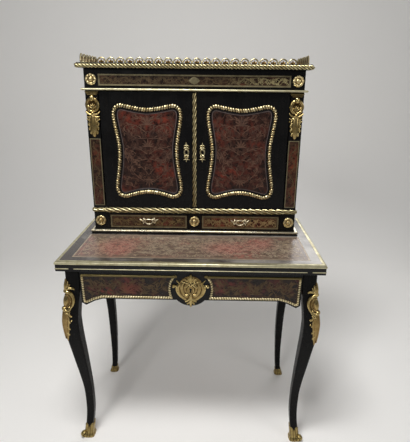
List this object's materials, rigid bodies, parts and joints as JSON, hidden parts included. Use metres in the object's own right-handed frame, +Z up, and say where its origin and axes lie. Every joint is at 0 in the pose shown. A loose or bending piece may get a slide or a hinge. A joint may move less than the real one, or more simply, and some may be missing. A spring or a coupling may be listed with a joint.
{
  "type": "bonheur du jour writing desk",
  "caption": "Small ebonised writing table on curved legs with a frieze drawer, carrying a two-door cabinet over small drawers, with marquetry panels and gilt mounts.",
  "frame": {"origin": "on the floor under the middle of the piece", "axes": "+X to the right of a person facing the front, +Y to the back, +Z up"},
  "size_m": [0.873, 0.48, 1.375],
  "materials": {
    "ebonised_wood": "gloss",
    "gilt_bronze": "satin",
    "tortoiseshell_marquetry": "gloss",
    "oak_lining": "matte",
    "iron": "satin"
  },
  "bodies": {
    "carcass": {"table_top": "ebonised_wood", "leg_front_left": "ebonised_wood", "leg_front_right": "ebonised_wood", "leg_rear_left": "ebonised_wood", "leg_rear_right": "ebonised_wood", "side_apron_left": "ebonised_wood", "side_apron_right": "ebonised_wood", "back_apron": "ebonised_wood", "cabinet_base": "ebonised_wood", "corner_blocks": "ebonised_wood", "drawer_divider": "ebonised_wood", "cabinet_side_left": "ebonised_wood", "cabinet_side_right": "ebonised_wood", "drawer_deck": "ebonised_wood", "cabinet_head": "ebonised_wood", "pilaster_left": "ebonised_wood", "pilaster_right": "ebonised_wood", "cornice": "ebonised_wood", "table_edge": "gilt_bronze", "knee_mounts": "gilt_bronze", "sabots": "gilt_bronze", "plinth_moulding": "gilt_bronze", "waist_rope": "gilt_bronze", "frieze_moulding": "gilt_bronze", "cornice_rope": "gilt_bronze", "gallery": "gilt_bronze", "rosettes": "gilt_bronze", "pilaster_mounts": "gilt_bronze", "table_panel": "tortoiseshell_marquetry", "frieze_plaque": "tortoiseshell_marquetry", "drawer_runners": "oak_lining", "small_drawer_guides": "oak_lining", "cabinet_back": "oak_lining", "shelf": "oak_lining"},
    "door_left": {"door_left": "ebonised_wood", "door_left_panel": "tortoiseshell_marquetry", "door_left_border": "gilt_bronze", "door_left_escutcheon": "gilt_bronze", "door_left_pivots": "iron"},
    "door_right": {"door_right": "ebonised_wood", "door_right_panel": "tortoiseshell_marquetry", "door_right_border": "gilt_bronze", "door_right_escutcheon": "gilt_bronze", "door_right_pivots": "iron", "astragal": "gilt_bronze", "door_lock": "iron"},
    "small_drawer_left": {"small_drawer_left_front": "ebonised_wood", "small_drawer_left_box": "oak_lining", "small_drawer_left_handle": "gilt_bronze"},
    "small_drawer_right": {"small_drawer_right_front": "ebonised_wood", "small_drawer_right_box": "oak_lining", "small_drawer_right_handle": "gilt_bronze"},
    "frieze_drawer": {"frieze_drawer_front": "ebonised_wood", "frieze_drawer_box": "oak_lining", "frieze_drawer_panels": "tortoiseshell_marquetry", "frieze_drawer_borders": "gilt_bronze", "frieze_drawer_escutcheon": "gilt_bronze", "frieze_drawer_lock": "iron"},
    "bail_left": {"small_drawer_left_bail": "gilt_bronze"},
    "bail_right": {"small_drawer_right_bail": "gilt_bronze"}
  },
  "joints": [
    {"name": "door_left_turn", "type": "hinge", "parent": "carcass", "child": "door_left", "pos_m": [-0.3109, 0.0405, 1.0465], "axis": [0, 0, -1], "range_deg": [0, 90]},
    {"name": "door_right_turn", "type": "hinge", "parent": "carcass", "child": "door_right", "pos_m": [0.3109, 0.0405, 1.0465], "axis": [0, 0, 1], "range_deg": [0, 90]},
    {"name": "small_drawer_left_slide", "type": "slide", "parent": "carcass", "child": "small_drawer_left", "axis": [0, -1, 0], "range_m": [0, 0.12]},
    {"name": "small_drawer_right_slide", "type": "slide", "parent": "carcass", "child": "small_drawer_right", "axis": [0, -1, 0], "range_m": [0, 0.12]},
    {"name": "frieze_drawer_slide", "type": "slide", "parent": "carcass", "child": "frieze_drawer", "axis": [0, -1, 0], "range_m": [0, 0.24]},
    {"name": "bail_left_swing", "type": "hinge", "parent": "small_drawer_left", "child": "bail_left", "pos_m": [-0.1705, 0.0235, 0.795], "axis": [-1, 0, 0], "range_deg": [0, 80]},
    {"name": "bail_right_swing", "type": "hinge", "parent": "small_drawer_right", "child": "bail_right", "pos_m": [0.1705, 0.0235, 0.795], "axis": [-1, 0, 0], "range_deg": [0, 80]}
  ]
}
